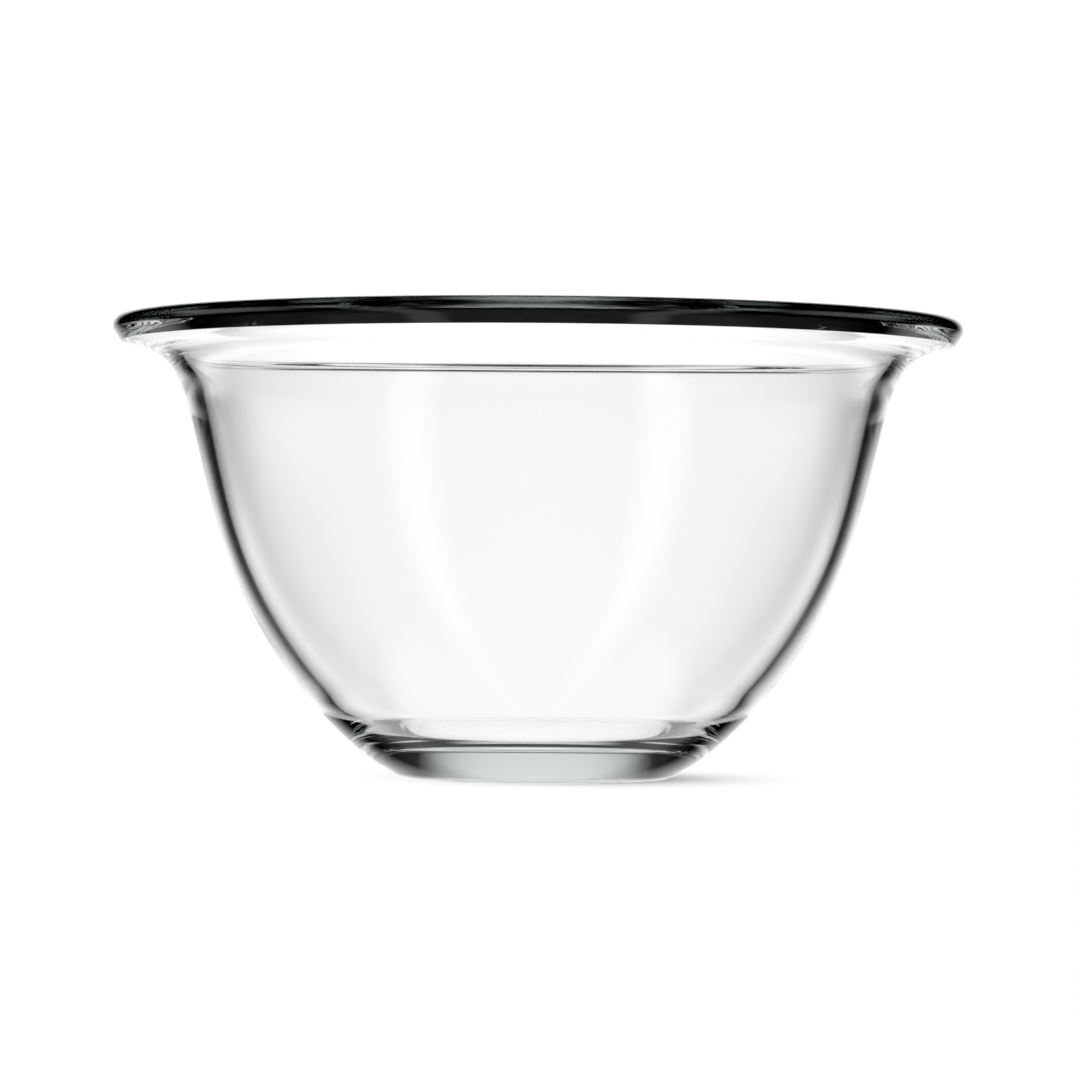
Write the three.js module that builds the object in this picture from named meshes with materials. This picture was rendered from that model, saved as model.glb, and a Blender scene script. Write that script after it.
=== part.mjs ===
// Clear pressed-glass mixing bowl with a wide turned-out lip and a rounded edge.
// One moulded piece of glass, turned about +Z. Millimetres, +Z up, the origin at
// the middle of the foot's resting plane.
import * as THREE from 'three';

// ---- driving dimensions (mm) ----
const SEGMENTS = 64;              // facets around the bowl

const RIM_RADIUS = 115.0;         // widest point, on the lip's edge
const BOWL_HEIGHT = 124.1;        // top of the lip above the table

const EDGE_ROUND = 2.7;           // radius of the lip's rounded top and outer edge
const EDGE_BEVEL = 60;            // direction of the bevel below the edge, degrees from level
const EDGE_CORNER = [112.8, 117.2]; // where that bevel meets the underside of the lip
const LIP_SLOPE = 21.8;           // slope of the lip's top face, degrees
const CREASE = [99.3, 119.2];     // where the lip's top face meets the inner wall
const CREASE_ROUND = 9.0;         // radius of that crease

const FOOT_RING_OUTER = 35.6;     // flat resting ring, outer edge
const FOOT_RING_INNER = 32.4;     // flat resting ring, inner edge
const FLOOR_Z = 11.5;             // inside floor above the table

// Underside inside the resting ring, barely hollow: [radius, height].
const UNDERSIDE = [[0, 0.3], [14, 0.28], [24, 0.2], [29.5, 0.1]];

// Outside of the wall, from the foot up to the turned-out lip: [radius, height].
const OUTER_WALL = [
  [38.23, 0.87], [42.65, 3.58], [46.74, 6.54], [50.57, 9.74], [54.21, 13.14],
  [57.7, 16.73], [61.05, 20.49], [64.27, 24.39], [67.34, 28.43], [70.24, 32.59],
  [72.96, 36.86], [75.49, 41.22], [77.83, 45.67], [79.97, 50.2], [81.93, 54.81],
  [83.72, 59.49], [85.34, 64.23], [86.82, 69.04], [88.18, 73.9], [89.45, 78.8],
  [90.66, 83.73], [91.85, 88.66], [93.04, 93.58], [94.3, 98.46], [95.7, 103.24],
  [97.54, 107.79], [98.8, 110.0], [100.36, 111.83], [102.4, 113.55], [104.79, 114.9],
  [109.0, 116.35],
];

// Inside of the wall, from the floor's edge up to the crease: [radius, height].
const INNER_WALL = [
  [36.0, 11.5], [38.5, 11.5], [40.2, 11.53], [41.8, 11.65], [43.4, 11.97], [45.0, 12.48], [46.4, 13.2],
  [47.77, 14.12], [50.35, 16.2], [53.48, 18.94], [57.48, 23.3], [61.3, 27.84], [64.91, 32.55],
  [68.27, 37.43], [71.22, 42.19], [74.09, 47.39], [76.66, 52.74], [78.96, 58.24],
  [80.99, 63.86], [82.77, 69.59], [84.26, 75.09], [85.7, 80.99], [87.05, 86.96],
  [88.3, 93.0], [89.3, 98.0], [90.4, 102.6], [92.15, 107.3], [94.6, 112.2],
  [97.4, 116.6],
];

// ---- profile ----
const rad = THREE.MathUtils.degToRad;

function profile() {
  const p = [];
  const add = (r, z) => p.push(new THREE.Vector2(r, z));

  // underside and the flat resting ring
  for (const [r, z] of UNDERSIDE) add(r, z);
  add(FOOT_RING_INNER, 0);
  add(FOOT_RING_OUTER, 0);

  // outside of the wall, out to the underside of the lip
  for (const [r, z] of OUTER_WALL) add(r, z);

  // edge of the lip: corner, bevel, then round over the widest point and the top
  add(...EDGE_CORNER);
  const cr = RIM_RADIUS - EDGE_ROUND;
  const cz = BOWL_HEIGHT - EDGE_ROUND;
  const onEdge = (deg) => [cr + EDGE_ROUND * Math.cos(rad(deg)), cz + EDGE_ROUND * Math.sin(rad(deg))];
  for (const deg of [EDGE_BEVEL - 90, 0, 30, 60, 90, LIP_SLOPE + 90]) add(...onEdge(deg));

  // top face of the lip, then the rounded crease where it turns down into the wall
  const edge = new THREE.Vector2(...onEdge(LIP_SLOPE + 90));
  const corner = new THREE.Vector2(...CREASE);
  const wall = new THREE.Vector2(...INNER_WALL[INNER_WALL.length - 1]);
  const u = edge.clone().sub(corner).normalize();
  const v = wall.clone().sub(corner).normalize();
  const reach = CREASE_ROUND / Math.tan(Math.acos(u.dot(v)) / 2);
  const crease = new THREE.QuadraticBezierCurve(
    corner.clone().addScaledVector(u, reach), corner, corner.clone().addScaledVector(v, reach));
  p.push(...crease.getPoints(4));

  // inside of the wall down to the floor
  for (const [r, z] of [...INNER_WALL].reverse()) add(r, z);
  add(18, FLOOR_Z);
  add(0, FLOOR_Z);
  return p;
}

// LatheGeometry turns about Y, so the finished geometry is stood up on +Z.
const geometry = new THREE.LatheGeometry(profile(), SEGMENTS);
geometry.rotateX(Math.PI / 2);

const glass = new THREE.MeshStandardMaterial({
  color: 0xe9f1ef,
  roughness: 0.03,
  metalness: 0.0,
  transparent: true,
  opacity: 0.35,
});

const bowl = new THREE.Mesh(geometry, glass);
bowl.name = 'glass_bowl';

const group = new THREE.Group();
group.add(bowl);

export default group;
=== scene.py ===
import math

import bpy
import numpy as np
from mathutils import Euler, Matrix, Vector


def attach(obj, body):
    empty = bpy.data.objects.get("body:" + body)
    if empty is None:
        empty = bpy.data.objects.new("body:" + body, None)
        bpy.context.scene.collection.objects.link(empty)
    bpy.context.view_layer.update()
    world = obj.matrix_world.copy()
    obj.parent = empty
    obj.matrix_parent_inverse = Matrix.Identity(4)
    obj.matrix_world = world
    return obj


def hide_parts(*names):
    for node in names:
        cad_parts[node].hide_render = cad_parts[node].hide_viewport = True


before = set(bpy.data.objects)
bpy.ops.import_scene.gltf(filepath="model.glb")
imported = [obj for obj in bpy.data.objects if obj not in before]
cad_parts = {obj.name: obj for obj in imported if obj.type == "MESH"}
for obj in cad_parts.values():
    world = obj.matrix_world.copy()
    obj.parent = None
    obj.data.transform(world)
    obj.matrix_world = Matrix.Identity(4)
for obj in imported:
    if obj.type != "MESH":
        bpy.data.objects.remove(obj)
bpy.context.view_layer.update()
scene = bpy.context.scene

# ---------------------------------------------------------------- bowl section
# The same stations as the CAD source, in millimetres: (radius, height).
R_RIM = 115.0          # outermost radius of the lip
HEIGHT = 124.1         # overall height
EDGE_ROUND = 2.7       # radius of the lip's rounded top and outer edge
EDGE_CHAMFER = 60.0    # direction of the bevel under the edge, from horizontal
EDGE_CORNER = (112.8, 117.2)   # where the bevel meets the underside of the lip
EDGE_CORNER_R = 0.3
EDGE_UNDER = 14.0      # direction of the lip's underside there
LIP_SLOPE = 21.8       # slope of the lip's top face
CREASE = (99.3, 119.2) # where the lip's top face meets the inner wall
CREASE_R = 9.0
FOOT_OUT = 35.6
FOOT_IN = 32.4
UNDERSIDE = [[0, 0.3], [14, 0.28], [24, 0.2], [29.5, 0.1], [FOOT_IN, 0]]
FLOOR_Z = 11.5
OUTER = [[38.23, 0.87], [42.65, 3.58], [46.74, 6.54], [50.57, 9.74], [54.21, 13.14], [57.70, 16.73],
         [61.05, 20.49], [64.27, 24.39], [67.34, 28.43], [70.24, 32.59], [72.96, 36.86], [75.49, 41.22],
         [77.83, 45.67], [79.97, 50.20], [81.93, 54.81], [83.72, 59.49], [85.34, 64.23], [86.82, 69.04],
         [88.18, 73.90], [89.45, 78.80], [90.66, 83.73], [91.85, 88.66], [93.04, 93.58], [94.30, 98.46],
         [95.70, 103.24], [97.54, 107.79], [100.36, 111.83], [104.79, 114.9], [109.0, 116.35]]
INNER = [[36.0, 11.5], [38.5, 11.5], [41.8, 11.65], [45.0, 12.48], [47.77, 14.12], [50.35, 16.2], [53.477, 18.94],
         [57.48, 23.299], [61.303, 27.839], [64.905, 32.547], [68.272, 37.427], [71.223, 42.191],
         [74.086, 47.387], [76.66, 52.741], [78.964, 58.242], [80.992, 63.856], [82.772, 69.588],
         [84.264, 75.088], [85.695, 80.985], [87.045, 86.959], [88.3, 93.0], [89.3, 98.0],
         [90.4, 102.6], [92.15, 107.3], [94.6, 112.2], [97.4, 116.6]]


def spline(points, step):
    """Natural cubic through the stations by chord length, resampled about every step mm."""
    p = np.array(points, float)
    s = np.concatenate([[0], np.cumsum(np.hypot(*np.diff(p, axis=0).T))])
    n = len(p)
    m = max(2, int(round(s[-1] / step))) + 1
    q = np.linspace(0, s[-1], m)
    out = []
    for c in range(2):
        y, h = p[:, c], np.diff(s)
        A, b = np.zeros((n, n)), np.zeros(n)
        A[0, 0] = A[-1, -1] = 1
        for i in range(1, n - 1):
            A[i, i - 1], A[i, i], A[i, i + 1] = h[i - 1], 2 * (h[i - 1] + h[i]), h[i]
            b[i] = 6 * ((y[i + 1] - y[i]) / h[i] - (y[i] - y[i - 1]) / h[i - 1])
        M = np.linalg.solve(A, b)
        k = np.clip(np.searchsorted(s, q, side="right") - 1, 0, n - 2)
        t, hh = q - s[k], h[k]
        out.append(y[k] + t * ((y[k + 1] - y[k]) / hh - hh * (2 * M[k] + M[k + 1]) / 6)
                   + t * t * M[k] / 2 + t ** 3 * (M[k + 1] - M[k]) / (6 * hh))
    return [list(x) for x in np.stack(out, 1)]


def bezier(a, b, c, ks):
    return [list((1 - k) ** 2 * a + 2 * k * (1 - k) * b + k * k * c) for k in ks]


def section():
    P = spline(UNDERSIDE, 1.5)
    P += [[(FOOT_IN + FOOT_OUT) / 2, 0.0], [FOOT_OUT, 0.0]]
    P += spline(OUTER, 1.0)
    # lip edge: underside -> small corner -> bevel -> rounded top
    K = np.array(EDGE_CORNER)
    u = -np.array([math.cos(math.radians(EDGE_UNDER)), math.sin(math.radians(EDGE_UNDER))])
    v = np.array([math.cos(math.radians(EDGE_CHAMFER)), math.sin(math.radians(EDGE_CHAMFER))])
    d = EDGE_CORNER_R / math.tan(math.acos(float(u @ v)) / 2)
    q0, q1 = K + u * d, K + v * d
    P += bezier(q0, K, q1, (0, 0.25, 0.5, 0.75, 1.0))
    ct = np.array([R_RIM - EDGE_ROUND, HEIGHT - EDGE_ROUND])

    def on_arc(deg):
        a = math.radians(deg)
        return ct + EDGE_ROUND * np.array([math.cos(a), math.sin(a)])

    s0 = on_arc(EDGE_CHAMFER - 90)
    P += [list(q1 + (s0 - q1) * k) for k in (0.25, 0.5, 0.75)]
    P += [list(on_arc(x)) for x in np.linspace(EDGE_CHAMFER - 90, LIP_SLOPE + 90, 22)]
    # top face of the lip, then the rounded crease into the wall
    e, c, last = on_arc(LIP_SLOPE + 90), np.array(CREASE), np.array(INNER[-1])
    u, v = (e - c) / np.hypot(*(e - c)), (last - c) / np.hypot(*(last - c))
    d = CREASE_R / math.tan(math.acos(float(u @ v)) / 2)
    q0, q1 = c + u * d, c + v * d
    steps = int(np.hypot(*(e - q0)) / 1.0) + 1
    P += [list(e + (q0 - e) * k) for k in np.linspace(0, 1, steps + 1)[1:]]
    P += bezier(q0, c, q1, (0.12, 0.25, 0.37, 0.5, 0.62, 0.75, 0.87, 1.0))
    P += spline(INNER[::-1], 1.0)
    P += [[INNER[0][0] * k, FLOOR_Z] for k in (0.8, 0.6, 0.4, 0.2)]
    P += [[0, FLOOR_Z]]
    return np.array(P) * 0.001


def lathe(name, prof, n=256):
    """A closed body of revolution about Z whose section starts and ends on the axis."""
    th = np.linspace(0, 2 * math.pi, n, endpoint=False)
    ring = prof[1:-1]
    co = np.empty((len(ring), n, 3))
    co[:, :, 0] = ring[:, :1] * np.cos(th)
    co[:, :, 1] = ring[:, :1] * np.sin(th)
    co[:, :, 2] = ring[:, 1:2]
    verts = np.concatenate([co.reshape(-1, 3), [[0, 0, prof[0, 1]], [0, 0, prof[-1, 1]]]])
    m = len(ring)
    faces = []
    for i in range(m - 1):
        for j in range(n):
            k = (j + 1) % n
            faces.append((i * n + j, i * n + k, (i + 1) * n + k, (i + 1) * n + j))
    b, t = m * n, m * n + 1
    for j in range(n):
        k = (j + 1) % n
        faces.append((b, k, j))
        faces.append((t, (m - 1) * n + j, (m - 1) * n + k))
    me = bpy.data.meshes.new(name)
    me.from_pydata([tuple(x) for x in verts], [], faces)
    me.update()
    me.shade_smooth()
    ob = bpy.data.objects.new(name, me)
    scene.collection.objects.link(ob)
    return ob


# ---------------------------------------------------------------- node helpers
class Nodes:
    def __init__(self, tree):
        self.t = tree
        for n in list(tree.nodes):
            tree.nodes.remove(n)

    def new(self, kind, **props):
        n = self.t.nodes.new(kind)
        for k, x in props.items():
            setattr(n, k, x)
        return n

    def put(self, x, socket):
        if hasattr(x, "is_output"):
            self.t.links.new(x, socket)
        else:
            socket.default_value = x

    def math(self, op, a, b=None, c=None):
        n = self.new("ShaderNodeMath", operation=op)
        for i, x in enumerate((a, b, c)):
            if x is not None:
                self.put(x, n.inputs[i])
        return n.outputs[0]

    def step(self, x, a, b, lo=0.0, hi=1.0):
        n = self.new("ShaderNodeMapRange", interpolation_type="SMOOTHSTEP", clamp=True)
        self.put(x, n.inputs["Value"])
        for k, val in (("From Min", a), ("From Max", b), ("To Min", lo), ("To Max", hi)):
            n.inputs[k].default_value = val
        return n.outputs[0]

    def curve(self, x, x0, x1, pts):
        """Piecewise smooth function of x: pts are (x, value)."""
        n = self.new("ShaderNodeFloatCurve")
        t = self.new("ShaderNodeMapRange", clamp=True)
        self.put(x, t.inputs["Value"])
        t.inputs["From Min"].default_value, t.inputs["From Max"].default_value = x0, x1
        self.put(t.outputs[0], n.inputs["Value"])
        top = max(v for _, v in pts)
        cv = n.mapping.curves[0]
        want = [((a - x0) / (x1 - x0), v / top) for a, v in pts]
        while len(cv.points) < len(want):
            cv.points.new(0.5, 0.5)
        for p, w in zip(cv.points, want):
            p.location = w
            p.handle_type = "AUTO_CLAMPED"
        n.mapping.update()
        return self.math("MULTIPLY", n.outputs[0], top)


# ---------------------------------------------------------------- glass
glass = bpy.data.materials.new("clear_glass")
glass.use_nodes = True
g = Nodes(glass.node_tree)
out = g.new("ShaderNodeOutputMaterial")
bsdf = g.new("ShaderNodeBsdfPrincipled")
bsdf.inputs["Base Color"].default_value = (1, 1, 1, 1)
bsdf.inputs["Transmission Weight"].default_value = 1.0
bsdf.inputs["IOR"].default_value = 1.5
g.put(bsdf.outputs[0], out.inputs["Surface"])
# faint waviness of pressed glass: slow swells, plus fine rings where the mould parts at the lip
tc = g.new("ShaderNodeTexCoord")
sep = g.new("ShaderNodeSeparateXYZ")
g.put(tc.outputs["Object"], sep.inputs[0])
rad = g.math("SQRT", g.math("ADD", g.math("MULTIPLY", sep.outputs[0], sep.outputs[0]),
                            g.math("MULTIPLY", sep.outputs[1], sep.outputs[1])))
ring = g.new("ShaderNodeCombineXYZ")
g.put(g.math("MULTIPLY", sep.outputs[0], 0.35), ring.inputs[0])
g.put(g.math("MULTIPLY", sep.outputs[1], 0.35), ring.inputs[1])
g.put(g.math("ADD", g.math("MULTIPLY", rad, 6.0), g.math("MULTIPLY", sep.outputs[2], 6.0)), ring.inputs[2])
n1 = g.new("ShaderNodeTexNoise")
n1.inputs["Scale"].default_value = 22.0
n1.inputs["Detail"].default_value = 1.0
g.put(tc.outputs["Object"], n1.inputs["Vector"])
n2 = g.new("ShaderNodeTexNoise")
n2.inputs["Scale"].default_value = 60.0
n2.inputs["Detail"].default_value = 2.0
g.put(ring.outputs[0], n2.inputs["Vector"])
lip = g.step(sep.outputs[2], 0.108, 0.119)
b1 = g.new("ShaderNodeBump")
b1.inputs["Strength"].default_value = 1.0
b1.inputs["Distance"].default_value = 0.00004
g.put(n1.outputs["Fac"], b1.inputs["Height"])
b2 = g.new("ShaderNodeBump")
b2.inputs["Distance"].default_value = 0.000012
g.put(lip, b2.inputs["Strength"])
g.put(n2.outputs["Fac"], b2.inputs["Height"])
g.put(b1.outputs[0], b2.inputs["Normal"])
g.put(b2.outputs[0], bsdf.inputs["Normal"])
n3 = g.new("ShaderNodeTexNoise")
n3.inputs["Scale"].default_value = 45.0
n3.inputs["Detail"].default_value = 4.0
g.put(tc.outputs["Object"], n3.inputs["Vector"])
g.put(g.step(n3.outputs["Fac"], 0.45, 0.75, 0.0, 0.02), bsdf.inputs["Roughness"])
vol = g.new("ShaderNodeVolumeAbsorption")
vol.inputs["Color"].default_value = (0.50, 0.55, 0.545, 1)
vol.inputs["Density"].default_value = 10.0
g.put(vol.outputs[0], out.inputs["Volume"])

bowl = lathe("glass_bowl_surface", section())
bowl.data.materials.append(glass)
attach(bowl, "root")
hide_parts("glass_bowl")

# ---------------------------------------------------------------- studio
GAP, TABLE = 0.95, 0.9   # brightness of the low fill and of the table, as the glass sees them
world = bpy.data.worlds.new("studio")
scene.world = world
world.use_nodes = True
w = Nodes(world.node_tree)
tc = w.new("ShaderNodeTexCoord")
sep = w.new("ShaderNodeSeparateXYZ")
w.put(tc.outputs["Generated"], sep.inputs[0])
az = w.math("MULTIPLY", w.math("ARCTAN2", sep.outputs[0], sep.outputs[1]), 180 / math.pi)
az = w.math("ABSOLUTE", w.math("WRAP", az, 45.0, -45.0))     # 0 at the panels, 45 between them
el = w.math("MULTIPLY", w.math("ARCSINE", sep.outputs[2]), 180 / math.pi)
# soft panels round the table, with dark gaps between them: a tall one behind the bowl, low ones on the other sides
panel = w.curve(az, 0.0, 45.0, [(0, 1.14), (5, 1.11), (10, 1.05), (15, 0.86), (20, 0.48), (24, 0.12), (27, 0.0), (45, 0.0)])
ends = w.step(sep.outputs[1], 0.6, 0.8)
tall = w.math("MULTIPLY", ends, w.step(el, 68.0, 52.0))
low = w.math("MULTIPLY", w.math("SUBTRACT", 1.0, ends), w.math("MULTIPLY", w.step(el, -20.0, -5.0), w.step(el, 24.0, 8.0)))
panel = w.math("MULTIPLY", panel, w.math("ADD", tall, low))
# low fill between the panels, so that oblique views from above stay clear
gap = w.math("MULTIPLY", w.step(az, 32.0, 43.0), w.math("MULTIPLY", w.step(el, -4.0, -14.0), w.step(sep.outputs[1], -0.35, 0.35, 0.9, GAP)))
# the table itself, seen steeply from above
table = w.math("MAXIMUM", w.math("MULTIPLY", w.step(el, -30.0, -44.0), 0.15),
               w.math("MULTIPLY", w.step(el, -44.0, -56.0), w.math("MULTIPLY", TABLE, w.step(sep.outputs[1], -0.35, 0.15, 0.3, 1.0))))
pattern = w.math("MAXIMUM", w.math("MAXIMUM", panel, gap), table)
lp = w.new("ShaderNodeLightPath")
see = w.math("MAXIMUM", lp.outputs["Is Glossy Ray"], lp.outputs["Is Transmission Ray"])
plain = w.math("ADD", w.math("MULTIPLY", lp.outputs["Is Camera Ray"], -0.08), 1.1)
mix = w.new("ShaderNodeMix", data_type="FLOAT")
w.put(see, mix.inputs["Factor"])
w.put(plain, mix.inputs["A"])
w.put(pattern, mix.inputs["B"])
bg = w.new("ShaderNodeBackground")
w.put(mix.outputs["Result"], bg.inputs["Strength"])
bg.inputs["Color"].default_value = (1.0, 1.0, 1.0, 1)
wo = w.new("ShaderNodeOutputWorld")
w.put(bg.outputs[0], wo.inputs["Surface"])

# pale floor
me = bpy.data.meshes.new("floor")
s = 30.0
me.from_pydata([(-s, -s, -0.0002), (s, -s, -0.0002), (s, s, -0.0002), (-s, s, -0.0002)], [], [(0, 1, 2, 3)])
floor = bpy.data.objects.new("floor", me)
scene.collection.objects.link(floor)
fm = bpy.data.materials.new("pale_floor")
fm.use_nodes = True
f = Nodes(fm.node_tree)
fo = f.new("ShaderNodeOutputMaterial")
fd = f.new("ShaderNodeBsdfDiffuse")
fd.inputs["Color"].default_value = (0.93, 0.93, 0.93, 1)
f.put(fd.outputs[0], fo.inputs["Surface"])
me.materials.append(fm)
floor.visible_transmission = False
floor.visible_glossy = False

# The glass lets most light through, so its own full shadow is left out and a small
# unseen blocker under the bowl gives the soft contact shadow.
bowl.visible_shadow = False
bowl.visible_diffuse = False
blk = lathe("shadow_blocker", np.array([[0, 6.0], [30, 6.0], [46, 14.0], [46, 14.5], [0, 14.5]]) * 0.001, 64)
blk.location = (0.012, 0.0, 0.0)
blk.data.materials.append(fm)
blk.visible_camera = False
blk.visible_glossy = False
blk.visible_transmission = False

# ---------------------------------------------------------------- camera
# Level with the middle of the bowl; a long lens 1.2 m away.
FPX, HORIZON, AXIS_X, ROLL = 4422.0, 563.5, 536.7, 0.4
cam = bpy.data.cameras.new("camera")
cam_ob = bpy.data.objects.new("camera", cam)
scene.collection.objects.link(cam_ob)
scene.camera = cam_ob
cam_ob.location = (0, -1.201, 0.058)
pitch, yaw = math.atan((HORIZON - 540) / FPX), math.atan((540 - AXIS_X) / FPX)
rot = Euler((math.pi / 2 + pitch, 0, -yaw)).to_matrix().to_4x4() @ Matrix.Rotation(math.radians(ROLL), 4, "Z")
cam_ob.rotation_euler = rot.to_euler()
cam.sensor_width = 36
cam.lens = 36 * FPX / 1080
cam.clip_start = 0.05
cam.clip_end = 200

scene.view_settings.view_transform = "Standard"
scene.view_settings.look = "None"
scene.cycles.max_bounces = 20
scene.cycles.transmission_bounces = 20
scene.cycles.glossy_bounces = 12
